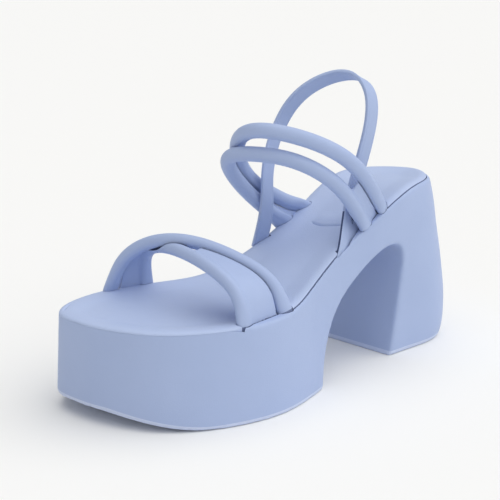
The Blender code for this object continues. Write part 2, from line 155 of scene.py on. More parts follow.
# ---- strap routes, outer side over to the inner side ----
# across, station, height of the strap's centre line
TOE_REAR = (
    (42.4, 80.8, 48.0),
    (37.1, 77.3, 62.0),
    (21.0, 70.5, 72.0),
    (-1.0, 61.5, 78.0),
    (-23.5, 53.5, 75.5),
    (-39.5, 47.5, 64.0),
    (-46.5, 44.5, 47.0),
)
TOE_FRONT = (
    (42.8, 53.8, 47.5),
    (39.4, 52.9, 61.5),
    (24.5, 52.5, 70.4),
    (1.0, 54.4, 74.3),
    (-21.5, 57.0, 73.0),
    (-37.0, 60.5, 64.5),
    (-41.5, 64.5, 47.5),
)
INSTEP_FRONT = (
    (28.2, 153.0, 75.0),
    (30.5, 130.0, 100.5),
    (18.5, 112.5, 113.5),
    (0.0, 102.5, 116.0),
    (-17.5, 101.0, 111.5),
    (-22.5, 115.0, 94.0),
    (-19.5, 142.5, 70.0),
)
INSTEP_REAR = (
    (27.4, 166.2, 82.0),
    (33.2, 137.0, 111.5),
    (20.0, 114.0, 125.5),
    (1.0, 102.5, 128.0),
    (-17.0, 107.0, 118.5),
    (-25.0, 121.5, 98.0),
    (-19.5, 155.0, 76.0),
)
SLING = (
    # across, station, height, degrees that the band's width leans back from level
    (31.0, 132.5, 60.5, 40.0),
    (30.0, 135.8, 66.5, 40.0),
    (22.6, 148.0, 84.5, 40.0),
    (22.6, 158.0, 110.0, 32.0),
    (20.5, 166.5, 139.0, 15.0),
    (8.0, 165.5, 149.5, 33.0),
    (-11.5, 151.0, 141.5, 42.0),
    (-20.5, 139.5, 122.0, 40.0),
    (-17.7, 128.5, 101.0, 40.0),
    (-15.7, 125.5, 83.0, 40.0),
    (-21.5, 125.5, 62.0, 40.0),
)
# length up each tube, from its foot, that a side panel fills
TOE_PANEL_OUTER = (56.0, 60.0)  # along TOE_FRONT, along TOE_REAR
TOE_PANEL_INNER = (27.0, 29.0)
INSTEP_PANEL_OUTER = (28.0, 34.0)  # along INSTEP_FRONT, along INSTEP_REAR
INSTEP_PANEL_INNER = (32.0, 34.0)

# ---- mesh fineness ----
OUTLINE_ROWS = 150
PROFILE_ROWS = 120
ARCH_ROWS = 80
WALL_ROWS = 48
WALL_RANGE = (-10.0, 104.0)
BODY_VOXEL = 0.8
STRAP_VOXEL = 0.45
TUBE_STEP = 1.5
TUBE_SIDES = 28
SLING_STEP = 2.0
ROUTE_POINTS = 400  # along a strap's route before it is divided evenly
SIDE_POINTS = 500   # along each side of the outline before it is cut into rows
PLAN_POWER = 0.7    # power of the hops that spaces the outline's knots
ROUTE_POWER = 0.5   # power of the hops that spaces the knots of routes and of the arch
SMOOTHING = 0.5     # strength of one smoothing pass
SHARP_FROM = 50.0   # degrees between faces from which an edge is drawn sharp
BEYOND_TOE = -20.0  # stations and height past the shoe, where cutters end
BEYOND_HEEL = 260.0
BELOW_FLOOR = -20.0
CUTTER_HALF_WIDTH = 90.0
FAR_BELOW = -150.0  # heights off the rim line that are past every piece
FAR_ABOVE = 40.0
FOOT_EXTRA = 9.0   # how far a strap's foot is carried down before it is cut to the sole
NOTCH_DEPTH = 9.0  # how far the wall's lip fills in outside a strap's foot
NOTCH_GAP = 0.25   # clearance of the insole round the straps
FOOT_SLACK = 0.1   # clearance of a strap's foot in the sole
FOOT_ROWS = 5      # points over the length that a foot is carried down

# The frame's origin is below the middle of the shoe, on the floor.
CENTRE_X = -0.48
CENTRE_STATION = 113.8

# ---- the picture ----
CAMERA_PLACE = (0.52091, -0.49667, 0.2539)
CAMERA_AIM = (-0.70988, 0.65665, -0.25472)  # direction that the camera looks in
CAMERA_ROLL = -0.99                         # degrees
CAMERA_LENS = 104.0


# ---- curves ----
def spline(knots, values, at, closed=False):
    """Values at other places on the curve of continuous bend through the rows."""
    knots = np.asarray(knots, float)
    values = np.asarray(values, float).reshape(len(knots), -1)
    steps = np.diff(knots)
    rates = np.diff(values, axis=0) / steps[:, None]
    count = len(knots) - 1 if closed else len(knots)
    matrix = np.zeros((count, count))
    right = np.zeros((count, values.shape[1]))
    for row in range(count):
        if not closed and row in (0, count - 1):
            near = 0 if row == 0 else count - 2
            matrix[row, near] = 2.0 if row == 0 else 1.0
            matrix[row, near + 1] = 1.0 if row == 0 else 2.0
            right[row] = 3.0 * rates[near]
            continue
        before = (row - 1) % len(steps)
        matrix[row, (row - 1) % count] += 1.0 / steps[before]
        matrix[row, row] += 2.0 * (1.0 / steps[before] + 1.0 / steps[row])
        matrix[row, (row + 1) % count] += 1.0 / steps[row]
        right[row] = 3.0 * (rates[before] / steps[before] + rates[row] / steps[row])
    slopes = np.linalg.solve(matrix, right)
    if closed:
        slopes = np.vstack([slopes, slopes[:1]])
    at = np.asarray(at, float)
    left = np.clip(np.searchsorted(knots, at, side="right") - 1, 0, len(steps) - 1)
    width = steps[left][:, None]
    part = ((at - knots[left]) / steps[left])[:, None]
    from_left = (1 + 2 * part) * (1 - part) ** 2 * values[left]
    from_right = part ** 2 * (3 - 2 * part) * values[left + 1]
    bend = part * (1 - part) * width * ((1 - part) * slopes[left] - part * slopes[left + 1])
    return from_left + from_right + bend


def smooth_step(low, high, value):
    part = np.clip((np.asarray(value, float) - low) / (high - low), 0.0, 1.0)
    return part * part * (3.0 - 2.0 * part)


def lengths_along(points, power=1.0):
    """Lengths up to each point of a polyline, with each hop raised to a power."""
    hops = np.linalg.norm(np.diff(points, axis=0), axis=1)
    return np.concatenate([[0.0], np.cumsum(hops ** power)])


def route(rows, step):
    """Evenly spaced points along a smooth curve through a strap's rows, in the frame's axes.

    Columns after the first three ride along unchanged.
    """
    rows = np.asarray(rows, float)
    knots = lengths_along(rows[:, :3], ROUTE_POWER)
    fine = spline(knots, rows, np.linspace(0.0, knots[-1], ROUTE_POINTS))
    run = lengths_along(fine[:, :3])
    places = np.linspace(0.0, run[-1], max(2, int(round(run[-1] / step)) + 1))
    points = np.stack([np.interp(places, run, column) for column in fine.T], axis=1)
    points[:, 0] -= CENTRE_X
    points[:, 1] -= CENTRE_STATION
    return points


def along_table(rows, at):
    """Values between the rows of a two-column table, on a smooth curve."""
    return spline(*zip(*rows), at)[:, 0]


def rim_height(station):
    return along_table(RIM, np.clip(station, RIM[0][0], RIM[-1][0]))


def spring_height(station):
    rise = np.clip(1.0 - np.asarray(station, float) / SPRING_LENGTH, 0.0, 1.0)
    return TOE_SPRING * rise ** 2


def plan_outline():
    """The outline from above, once round: toe tip, outer side, heel back, inner side."""
    outer = [(row[1], row[0]) for row in PLAN]
    inner = [(row[2], row[0]) for row in reversed(PLAN)]
    corners = np.array([TOE_TIP] + outer + [HEEL_BACK] + inner + [TOE_TIP])
    knots = lengths_along(corners, PLAN_POWER)
    back = knots[len(outer) + 1]
    outer_curve = spline(knots, corners, np.linspace(0.0, back, SIDE_POINTS), closed=True)
    inner_curve = spline(knots, corners, np.linspace(knots[-1], back, SIDE_POINTS), closed=True)
    return outer_curve, inner_curve


def outline_stations():
    """Stations from toe to heel, close together where the outline turns."""
    turn = np.linspace(0.0, math.pi, OUTLINE_ROWS)
    return HEEL_BACK[1] * (1.0 - np.cos(turn)) / 2.0


def ring_from_sides(outer, inner):
    return np.vstack([outer, inner[-2:0:-1]])


def rim_ring():
    outer_curve, inner_curve = plan_outline()
    stations = outline_stations()
    sides = []
    for curve in (outer_curve, inner_curve):
        order = np.maximum.accumulate(curve[:, 1])
        across = np.interp(stations, order, curve[:, 0])
        sides.append(np.stack([across, stations], axis=1))
    sides[0][0] = sides[1][0] = TOE_TIP
    sides[0][-1] = sides[1][-1] = HEEL_BACK
    return ring_from_sides(*sides)


def outward(ring):
    """Unit directions in plan that point out of a closed ring."""
    along = np.roll(ring, -1, axis=0) - np.roll(ring, 1, axis=0)
    normal = np.stack([along[:, 1], -along[:, 0]], axis=1)
    return normal / np.linalg.norm(normal, axis=1)[:, None]


def floor_ring(ring):
    """The wall's outline at the floor: a flared platform and the squarer foot of the heel block."""
    flared = ring + outward(ring) * PLATFORM_FLARE
    block_length = HEEL_BASE_BACK - HEEL_FRONT
    share = (ring[:, 1] - HEEL_BLOCK_START) / (HEEL_BACK[1] - HEEL_BLOCK_START)
    share = np.clip(share, 0.0, 1.0)
    reach = (1.0 - share ** HEEL_BASE_SQUARENESS) ** (1.0 / HEEL_BASE_SQUARENESS)
    side = np.where(np.arange(len(ring)) < OUTLINE_ROWS, 1.0, -1.0)
    block = np.stack([
        HEEL_BASE_CENTRE + side * reach * HEEL_BASE_HALF_WIDTH,
        HEEL_FRONT + share * block_length,
    ], axis=1)
    weight = smooth_step(HEEL_BLOCK_START - HEEL_BLEND, HEEL_BLOCK_START, ring[:, 1])[:, None]
    block[:, 1] = np.where(share > 0.0, block[:, 1], ring[:, 1] + HEEL_FRONT - HEEL_BLOCK_START)
    return flared * (1.0 - weight) + block * weight


def wall_ring(ring, base, height):
    """The wall's outline at one height."""
    station = ring[:, 1]
    platform = 1.0 - height / RIM[0][1]
    block = 1.0 - smooth_step(HEEL_TAPER_START, RIM[-1][1], height)
    heel_share = smooth_step(*HEEL_WALL_BLEND, station)
    front_share = 1.0 - smooth_step(*FLARE_END, station)
    share = heel_share * block + (1.0 - heel_share) * front_share * np.clip(platform, FLARE_ABOVE, 1.0)
    swell = along_table(HEEL_SWELL, [height])[0]
    back_share = smooth_step(*SWELL_START, station)
    return ring + (base - ring) * share[:, None] + outward(ring) * (swell * back_share)[:, None]


# ---- meshes ----
def in_frame(plan, heights):
    return np.column_stack([plan[:, 0] - CENTRE_X, plan[:, 1] - CENTRE_STATION, heights])


def add_mesh(name, points, faces):
    """An object from points in millimetres."""
    mesh = bpy.data.meshes.new(name)
    mesh.from_pydata((np.asarray(points) * MM).tolist(), [], faces)
    mesh.update()
    thing = bpy.data.objects.new(name, mesh)
    bpy.context.scene.collection.objects.link(thing)
    return thing


def bridge(rows, count, closed):
    """Quads between neighbouring rows of count points each."""
    faces = []
    for row in range(rows - 1):
        for place in range(count if closed else count - 1):
            after = (place + 1) % count
            low, high = row * count, (row + 1) * count
            faces.append((low + place, low + after, high + after, high + place))
    return faces


def face_out(thing):
    """Turns a closed mesh's faces outward."""
    work = bmesh.new()
    work.from_mesh(thing.data)
    bmesh.ops.recalc_face_normals(work, faces=work.faces)
    work.to_mesh(thing.data)
    work.free()
    return thing


def skin(name, rings):
    """A closed mesh through rings of equal length, with flat ends."""
    count = len(rings[0])
    last = (len(rings) - 1) * count
    faces = bridge(len(rings), count, closed=True)
    faces.append(tuple(reversed(range(count))))
    faces.append(tuple(last + place for place in range(count)))
    return face_out(add_mesh(name, np.concatenate(rings), faces))


def bake(thing):
    """Turns a piece's modifiers into its own mesh."""
    graph = bpy.context.evaluated_depsgraph_get()
    mesh = bpy.data.meshes.new_from_object(thing.evaluated_get(graph), depsgraph=graph)
    thing.modifiers.clear()
    thing.data = mesh
    return thing


def combine(thing, operation, other, keep=False):
    """A Boolean with another closed mesh, which is removed afterwards unless it is kept."""
    step = thing.modifiers.new(operation.lower(), "BOOLEAN")
    step.operation = operation
    step.object = other
    step.solver = "MANIFOLD"
    bake(thing)
    if not keep:
        bpy.data.objects.remove(other)
    return thing


def merge_and_round(thing, voxel, passes):
    """Makes a piece's overlapping bodies one skin and rounds its edges."""
    remesh = thing.modifiers.new("remesh", "REMESH")
    remesh.mode = "VOXEL"
    remesh.voxel_size = voxel * MM
    smooth = thing.modifiers.new("smooth", "SMOOTH")
    smooth.factor = SMOOTHING
    smooth.iterations = passes
    return bake(thing)


def join(name, things):
    """One object from several, whose bodies may overlap."""
    points = []
    faces = []
    start = 0
    for thing in things:
        points += [vertex.co / MM for vertex in thing.data.vertices]
        faces += [tuple(start + corner for corner in face.vertices) for face in thing.data.polygons]
        start = len(points)
        bpy.data.objects.remove(thing)
    return add_mesh(name, points, faces)


def copy_of(thing, name):
    twin = bpy.data.objects.new(name, thing.data.copy())
    bpy.context.scene.collection.objects.link(twin)
    return twin


def finish_piece(thing, material, slot, *nodes):
    """Gives a piece its finish and its body, and hides the solids it stands for."""
    thing.data.materials.clear()
    thing.data.materials.append(material)
    thing.data.shade_smooth()
    thing.data.set_sharp_from_angle(angle=math.radians(SHARP_FROM))
    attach(thing, "root")
    if nodes:
        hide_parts(*nodes)


# ---- sole ----
def side_slab(profile):
    """A profile of (station, height) points, extruded across the shoe as a cutter."""
    low = np.array([(-CUTTER_HALF_WIDTH, station - CENTRE_STATION, height)
                    for station, height in profile])
    high = low * (-1.0, 1.0, 1.0)
    return skin("side_slab", (low, high))


def arch_curve():
    rows = np.array(ARCH)
    knots = lengths_along(rows, ROUTE_POWER)
    curve = spline(knots, rows, np.linspace(0.0, knots[-1], ARCH_ROWS))
    return [tuple(point) for point in curve]


def underside(lift):
    """The platform's lower edge, from the toe back to where it is flat, raised by lift."""
    stations = np.linspace(BEYOND_TOE, FLARE_END[0], PROFILE_ROWS)
    return [(station, height + lift) for station, height in zip(stations, spring_height(stations))]


def line_along_rim(drop):
    """A line that runs below the rim line, from beyond the heel to beyond the toe.

    drop is a distance, or a function of the station that gives one.
    """
    stations = np.linspace(BEYOND_HEEL, BEYOND_TOE, PROFILE_ROWS)
    heights = rim_height(stations) - (drop(stations) if callable(drop) else drop)
    return list(zip(stations, heights))


SEAM_CHANGE = (44.0, 54.0)    # stations between which the insole's edge sinks behind the wall's lip
TOE_ROOM = 5.0                # how far the insole's bed runs out over the wall round the toes
SEAM_INSET = 1.5              # inset of the insole's edge behind there
SEAM_WIDTH = 0.38             # width of the joint along the wall's lip
TOE_RISE = 3.0                # the rounded body's top above the rim line round the toes
TOE_DROP = 0.62               # the insole's bed below the rim line there
BODY_ROUNDING = 26            # smoothing passes over the covered body
SKIN = 0.7                    # thickness that the wall keeps outside the straps' feet
TREAD = (4.2, 0.9, 0.6, 5.0)  # pitch, width and depth of the tread's grooves, and their inset
TREAD_START = 6.0             # station of the first groove
TREAD_MARGIN = 5.0            # from the grooves to the other ends of the two treads


def strip_faces(start, count, turn):
    """Strips that close a ring of points, between its outer and its inner side."""
    faces = []
    for row in range(count // 2):
        corners = dict.fromkeys([row, row + 1, count - row - 1, (count - row) % count])
        corners = [start + corner for corner in corners]
        if len(corners) > 2:
            faces.append(tuple(corners[::turn]))
    return faces


def column(plan, low, high):
    """A closed body between two lines that follow the rim line, with one outline from above."""
    count = len(plan)
    heights = rim_height(plan[:, 1])
    low = low(plan[:, 1]) if callable(low) else low
    points = np.vstack([in_frame(plan, heights + low), in_frame(plan, heights + high)])
    faces = bridge(2, count, closed=True) + strip_faces(0, count, -1) + strip_faces(count, count, 1)
    return face_out(add_mesh("column", points, faces))


def edge_inset(station):
    """Inset of the insole's edge from the outline."""
    return SEAM_INSET * smooth_step(*SEAM_CHANGE, station)


def body_drop(station):
    """The rounded body's top: above the rim line round the toes, and on it elsewhere."""
    return -TOE_RISE * (1.0 - smooth_step(*SEAM_CHANGE, station))


def bed_drop(station):
    """The insole's bed below the rim line: shallow round the toes, where the insole rolls over it."""
    share = smooth_step(*SEAM_CHANGE, station)
    return BED_DROP * share + TOE_DROP * (1.0 - share)


def below_rim(drop):
    """All that lies more than drop below the rim line."""
    profile = [(BEYOND_HEEL, BELOW_FLOOR), (BEYOND_TOE, BELOW_FLOOR)]
    return side_slab(profile + line_along_rim(drop)[::-1])


def rim_guard(inset):
    """What lies below the rim line and outside the outline moved in by an inset."""
    ring = rim_ring()
    return combine(below_rim(0.0), "DIFFERENCE", column(ring - outward(ring) * inset, FAR_BELOW, FAR_ABOVE))


def insole_bed(ring, fills):
    """The space that the insole lies in.  What the fills take up stays part of the wall."""
    share = smooth_step(*SEAM_CHANGE, ring[:, 1])
    inset = share * (SEAM_INSET - SEAM_WIDTH) - (1.0 - share) * TOE_ROOM
    bed = column(ring - outward(ring) * inset[:, None], lambda station: -bed_drop(station),
                 FAR_ABOVE)
    for fill in fills:
        combine(bed, "DIFFERENCE", fill)
    return bed


def tread_cutter(ring, low, high, underside_height):
    """Fine grooves across the sole between two stations."""
    pitch, width, depth, inset = TREAD
    slots = []
    for start in np.arange(low, high, pitch):
        top = float(underside_height(start + width / 2)) + depth
        end = start + width
        slots.append(side_slab([(start, BELOW_FLOOR), (end, BELOW_FLOOR), (end, top), (start, top)]))
    comb = join("tread", slots)
    plan = ring - outward(ring) * inset
    return combine(comb, "INTERSECT", column(plan, FAR_BELOW, 0.0))


def build_sole(covering, rubber, fills, feet):
    """The covered platform and heel, the outsole and the heel tip, cut from one rounded body."""
    ring = rim_ring()
    base = floor_ring(ring)
    rings = []
    for height in np.linspace(*WALL_RANGE, WALL_ROWS):
        plan = wall_ring(ring, base, np.clip(height, 0.0, RIM[-1][1]))
        rings.append(in_frame(plan, np.full(len(ring), height)))
    body = skin("sole_cover", rings)
    outline = underside(0.0) + arch_curve()[::-1] + [(BEYOND_HEEL, 0.0)] + line_along_rim(body_drop)
    combine(body, "INTERSECT", side_slab(outline))
    merge_and_round(body, BODY_VOXEL, BODY_ROUNDING)
    combine(body, "DIFFERENCE", insole_bed(ring, fills))
    guard = rim_guard(SKIN)
    for foot in feet:
        combine(foot, "DIFFERENCE", guard, keep=True)
        combine(body, "DIFFERENCE", foot)
    bpy.data.objects.remove(guard)
    back = ARCH[-1][0]
    front = (back + ARCH[0][0]) / 2
    outsole = [(BEYOND_TOE, BELOW_FLOOR), (front, BELOW_FLOOR), (front, OUTSOLE_THICKNESS)]
    outsole += underside(OUTSOLE_THICKNESS)[::-1]
    tip = [(front, BELOW_FLOOR), (BEYOND_HEEL, BELOW_FLOOR), (BEYOND_HEEL, HEEL_TIP_THICKNESS),
           (front, HEEL_TIP_THICKNESS)]
    for name, profile, node, low, high in (
        ("outsole", outsole, "outsole_forefoot", TREAD_START, back - TREAD_MARGIN),
        ("heel_lift", tip, "heel_tip", HEEL_FRONT + TREAD_MARGIN, HEEL_BASE_BACK - TREAD_MARGIN),
    ):
        part = combine(copy_of(body, name), "INTERSECT", side_slab(profile))
        combine(body, "DIFFERENCE", side_slab(profile))
        combine(part, "DIFFERENCE", tread_cutter(ring, low, high, spring_height))
        finish_piece(part, rubber, "tread_rubber", node)
    finish_piece(body, covering, "sole_cover", "sole_unit")


# ---- insole ----
INSETS = (0.0, 0.12, 0.35, 0.7, 1.2, 1.8, 2.6, 3.5, 4.5, 5.6, 7.0, 8.6, 10.5, 12.8)
GRID = 1.6                   # spacing of the insole's points away from its edge
ROLL_TOE = (3.6, 1.5)        # width and drop of the rolled edge round the toes
ROLL_SIDE = (2.0, 0.8)       # and behind the toe strap
EDGE_PAD = (0.45, 3.4, 2.2)  # height, inset and half width of the padded border there
DISH = (1.3, 5.0, 15.0)      # depth, and the insets between which it comes in
EDGE_FACING = 0.2            # the most that the insole's bare edge faces up or down
INSOLE_OFF = 0.06            # the insole's lower side above its bed
CREASES = (
    # depth, half width, rise and width of the soft swell behind it, and its line: across, station
    (1.7, 0.42, 0.7, 4.5, ((-6.0, 148.4), (-1.5, 147.4), (3.5, 147.3), (9.1, 148.8), (15.7, 150.5))),
    (0.6, 0.5, 0.0, 1.0, ((-31.6, 3.9), (-36.2, 8.8), (-40.4, 14.2), (-43.0, 19.0))),
)
CREASE_ROWS = (-3.0, -1.5, -0.8, -0.4, 0.0, 0.4, 0.8, 1.5, 3.0)
CREASE_END = 4.0    # length over which a crease fades at its ends
CREASE_STEP = 0.5   # between the points along a crease
CREASE_PAST = 2.0   # how soon its swell fades beyond its ends
CREASE_INSET = 0.6  # least distance of its points from the insole's edge


def crease_line(line):
    """Points at even steps along a crease, the direction to its left at each, and its length."""
    line = np.array(line)
    knots = lengths_along(line)
    points = spline(knots, line, np.linspace(0.0, knots[-1], int(knots[-1] / CREASE_STEP) + 2))
    along = unit(np.gradient(points, axis=0))
    return points, np.stack([-along[:, 1], along[:, 0]], axis=1), knots[-1]


def crease_lift(plan):
    """How far the creases move the insole's top, up or down."""
    lift = np.zeros(len(plan))
    for depth, half, rise, width, line in CREASES:
        points, left, length = crease_line(line)
        reach = np.linalg.norm(plan[:, None] - points[None], axis=2)
        nearest = reach.argmin(axis=1)
        away = reach.min(axis=1)
        aside = np.sum((plan - points[nearest]) * left[nearest], axis=1)
        run = nearest / (len(points) - 1) * length
        fade = smooth_step(0.0, CREASE_END, run) * smooth_step(0.0, CREASE_END, length - run)
        lift -= fade * depth * np.exp(-(away / half) ** 2)
        swell = np.exp(-((aside - width) / width) ** 2) * (aside > 0.0) * smooth_step(0.0, width, aside)
        past = np.clip(away - np.abs(aside), 0.0, None)
        lift += fade * rise * swell * np.exp(-past / CREASE_PAST)
    return lift


def insole_lift(inset, station):
    """Height of the insole's top above the rim line."""
    side = smooth_step(*SEAM_CHANGE, station)
    lift = np.full(len(inset), INSOLE_CROWN)
    for (width, drop), share in ((ROLL_TOE, 1.0 - side), (ROLL_SIDE, side)):
        part = np.clip(1.0 - inset / width, 0.0, 1.0)
        lift -= share * drop * (1.0 - np.sqrt(1.0 - part ** 2))
    height, middle, half = EDGE_PAD
    lift += side * height * np.exp(-((inset - middle) / half) ** 2)
    depth, start, end = DISH
    lift -= depth * smooth_step(start, end, inset)
    return lift


def build_insole(lining_painted_lighter, joint_painted_shade, clearances):
    """The padded insole, rolled over the wall round the toes and set behind its lip elsewhere."""
    ring = rim_ring()
    normal = outward(ring)
    ring = ring - normal * edge_inset(ring[:, 1])[:, None]
    loops = [ring - normal * inset for inset in INSETS]
    insets = [np.full(len(ring), inset) for inset in INSETS]
    across = np.arange(ring[:, 0].min(), ring[:, 0].max(), GRID)
    along = np.arange(0.0, HEEL_BACK[1], GRID)
    grid = np.stack(np.meshgrid(across, along), axis=-1).reshape(-1, 2)
    fine = []
    for crease in CREASES:
        points, left = crease_line(crease[-1])[:2]
        away = np.linalg.norm(grid[:, None] - points[None], axis=2).min(axis=1)
        grid = grid[away > CREASE_ROWS[-1] + GRID / 2]
        fine += [points + left * aside for aside in CREASE_ROWS]
    grid = np.vstack([grid] + fine)
    reach = np.linalg.norm(grid[:, None] - ring[None], axis=2)
    nearest = reach.argmin(axis=1)
    depth = np.sum((ring[nearest] - grid) * normal[nearest], axis=1)
    limit = np.full(len(grid), INSETS[-1] + GRID / 2)
    limit[-sum(len(row) for row in fine):] = CREASE_INSET
    inner = depth > limit
    plan = np.vstack(loops + [grid[inner]])
    inset = np.concatenate(insets + [depth[inner]])
    count = len(ring)
    border = [(place, (place + 1) % count) for place in range(count)]
    made = delaunay_2d_cdt([Vector(point) for point in plan], border, [], 1, 1e-6)
    order = [origin[0] for origin in made[3]]
    plan = np.array([point[:] for point in made[0]])
    heights = rim_height(plan[:, 1]) + insole_lift(inset[order], plan[:, 1]) + crease_lift(plan)
    points = [in_frame(plan, heights)]
    faces = [tuple(face) for face in made[2]]
    outer_row = [order.index(place) for place in range(count)]
    points.append(in_frame(ring, rim_height(ring[:, 1]) - bed_drop(ring[:, 1]) + INSOLE_OFF))
    start = len(plan)
    for place in range(count):
        after = (place + 1) % count
        faces.append((outer_row[after], outer_row[place], start + place, start + after))
    faces += strip_faces(start, count, -1)
    insole = face_out(add_mesh("insole_pad", np.vstack(points), faces))
    for clearance in clearances:
        combine(insole, "DIFFERENCE", clearance)
    # painted light: the insole takes the covering's tone painted lighter, for the light that falls on its
    # upturned top
    finish_piece(insole, lining_painted_lighter, "insole_cover", "insole")
    # painted shade: the insole's upright edge, down in the gap behind the wall's lip, takes the dark shade
    # tone
    insole.data.materials.append(joint_painted_shade)
    for face in insole.data.polygons:
        station = face.center.y / MM + CENTRE_STATION
        if abs(face.normal.z) < EDGE_FACING and station > SEAM_CHANGE[1]:
            face.material_index = 1


# ---- straps ----
FOOT_CORE = (0.0, 60.0)        # across and height of the line that the straps' insides face
SEAM = (0.45, 0.2)             # depth of the seam under a tube, and its half width in radians
FOOT_FLAT = (0.25, 0.32, 0.2)  # at its foot a tube is this much thinner, wider and set outward
FOOT_LENGTH = 8.0              # length over which it is


def walk(points, lengths):
    """Points at given lengths along a polyline."""
    run = lengths_along(points)
    return np.stack([np.interp(lengths, run, points[:, axis]) for axis in range(3)], axis=1)


def unit(vectors):
    return vectors / np.linalg.norm(vectors, axis=-1)[..., None]


def carry_feet(points):
    """The same line with each end carried on, down into the sole, where a cut ends it."""
    ends = []
    for last, before in ((points[0], points[1]), (points[-1], points[-2])):
        reach = np.linspace(FOOT_EXTRA, 0.0, FOOT_ROWS)[:-1, None]
        ends.append(last + unit(last - before) * reach)
    return np.vstack([ends[0], points, ends[1][::-1]])


def tube(name, points, radius, seam=True):
    """A padded tube along points, with its seam on the side that faces the foot."""
    along = unit(np.gradient(points, axis=0))
    core = points.copy()
    core[:, 0] = FOOT_CORE[0] - CENTRE_X
    core[:, 2] = FOOT_CORE[1]
    inward = core - points
    inward = unit(inward - np.sum(inward * along, axis=1)[:, None] * along)
    side = np.cross(along, inward)
    turn = np.linspace(-math.pi, math.pi, TUBE_SIDES, endpoint=False)
    depth, half = SEAM
    reach = np.full(len(turn), radius)
    if seam:
        reach -= depth * np.exp(-(turn / half) ** 2)
    run = lengths_along(points)
    height = np.clip(np.minimum(run, run[-1] - run) - FOOT_EXTRA, 0.0, None)
    thinner, wider, outer = FOOT_FLAT
    rings = []
    for point, u, v, share in zip(points, inward, side, np.exp(-(height / FOOT_LENGTH) ** 2)):
        thick = reach * np.cos(turn) * (1.0 - thinner * share) - outer * share * radius
        wide = reach * np.sin(turn) * (1.0 + wider * share)
        rings.append(point + thick[:, None] * u + wide[:, None] * v)
    return skin(name, rings)


def sheet(name, rows, inward, outward_by):
    """A strip through rows of points, thickened to both sides of them."""
    rows = np.array(rows)
    count = rows.shape[1]
    strip = add_mesh(name, rows.reshape(-1, 3), bridge(len(rows), count, closed=False))
    shell = strip.modifiers.new("thickness", "SOLIDIFY")
    shell.thickness = (inward + outward_by) * MM
    shell.offset = (outward_by - inward) / (outward_by + inward)
    return face_out(bake(strip))


PANEL_ROWS = 40
PANEL_COLUMNS = 12
PANEL_HOLLOW = 0.4        # how far a panel sinks between its tubes
PANEL_SCOOP = (3.5, 0.7)  # rows that the middle of its upper edge lies lower, and the dip's power


def side_panel(edges, inward, outward_by, hollow=0.0):
    """The leather between the feet of two tubes, from inward to outward_by off their centre lines."""
    shares = np.linspace(0.0, 1.0, PANEL_ROWS)
    first, second = (walk(line, shares * length) for line, length, shift in edges)
    near, far = (shift for line, length, shift in edges)
    parts = np.linspace(0.0, 1.0, PANEL_COLUMNS)[:, None]
    rows = np.array([start + (end - start) * parts for start, end in zip(first, second)])
    scoop, power = PANEL_SCOOP
    sink = scoop * np.sin(math.pi * parts[:, 0]) ** power
    upward = np.clip(shares * 2.0 - 1.0, 0.0, None) ** 2
    places = np.clip(np.arange(PANEL_ROWS) - sink[:, None] * upward, 0.0, None).T
    lower = np.floor(places).astype(int)
    upper = np.minimum(lower + 1, PANEL_ROWS - 1)
    column = np.arange(PANEL_COLUMNS)[None, :]
    blend = (places - lower)[..., None]
    rows = rows[lower, column] * (1.0 - blend) + rows[upper, column] * blend
    across = unit(second - first)
    up = unit(np.gradient(first + second, axis=0))
    facing = unit(np.cross(across, up))
    bulge = near + (far - near) * parts[:, 0] - hollow * np.sin(math.pi * parts[:, 0])
    rows += facing[:, None] * bulge[None, :, None]
    return sheet("side_panel", rows, inward, outward_by)


def panel_edges(front, rear, lengths, turn, shifts):
    """A side panel's two tubes in order, each with the length that the panel fills and its shift."""
    edges = [(line[::turn], length + FOOT_EXTRA, shift)
             for line, length, shift in zip((front, rear), lengths, shifts)]
    edges.sort(key=lambda edge: turn * edge[0][0][1])
    return edges


STRAP_ROUNDING = 16  # smoothing passes over a front tube and its panels
MARKS = {
    # fine creases near a panel's foot: across, station, height
    "toe": (((46.0, 66.0, 50.5), (45.8, 70.0, 50.9), (45.5, 75.5, 51.2)),),
    "instep": (),
}
MARK = (0.3, 0.55)        # depth and half width of those creases
MARK_POINTS = 40          # along each of them
MARK_ENDS = (0.05, 0.95)  # shares of a crease past which its depth stays the same
MARK_LEAST = 0.01         # the least that a point is moved for one


def press(thing, line):
    """Presses a fine crease into a piece along a line near its face."""
    line = np.array(line) - (CENTRE_X, CENTRE_STATION, 0.0)
    knots = lengths_along(line)
    points = spline(knots, line, np.linspace(0.0, knots[-1], MARK_POINTS))
    depth, half = MARK
    places = np.array([vertex.co[:] for vertex in thing.data.vertices]) / MM
    reach = np.linalg.norm(places[:, None] - points[None], axis=2)
    run = reach.argmin(axis=1) / (MARK_POINTS - 1.0)
    push = depth * np.exp(-(reach.min(axis=1) / half) ** 2)
    push *= np.sin(math.pi * np.clip(run, *MARK_ENDS))
    for vertex, amount in zip(thing.data.vertices, push):
        if amount > MARK_LEAST:
            vertex.co -= vertex.normal * amount * MM


def shade_foot(thing, joint_painted_shade):
    """Paints shade on a strap's faces below the rim line, where it goes down into the sole."""
    thing.data.materials.append(joint_painted_shade)
    centres = np.array([face.center[:] for face in thing.data.polygons]) / MM
    low = centres[:, 2] < rim_height(centres[:, 1] + CENTRE_STATION)
    for face, inside in zip(thing.data.polygons, low):
        if inside:
            face.material_index = 1


def cut_feet(thing):
    """Ends a strap's feet on the insole's bed and inside the wall's lip."""
    combine(thing, "DIFFERENCE", below_rim(BED_DROP - FOOT_SLACK))
    return combine(thing, "DIFFERENCE", rim_guard(SKIN + FOOT_SLACK))


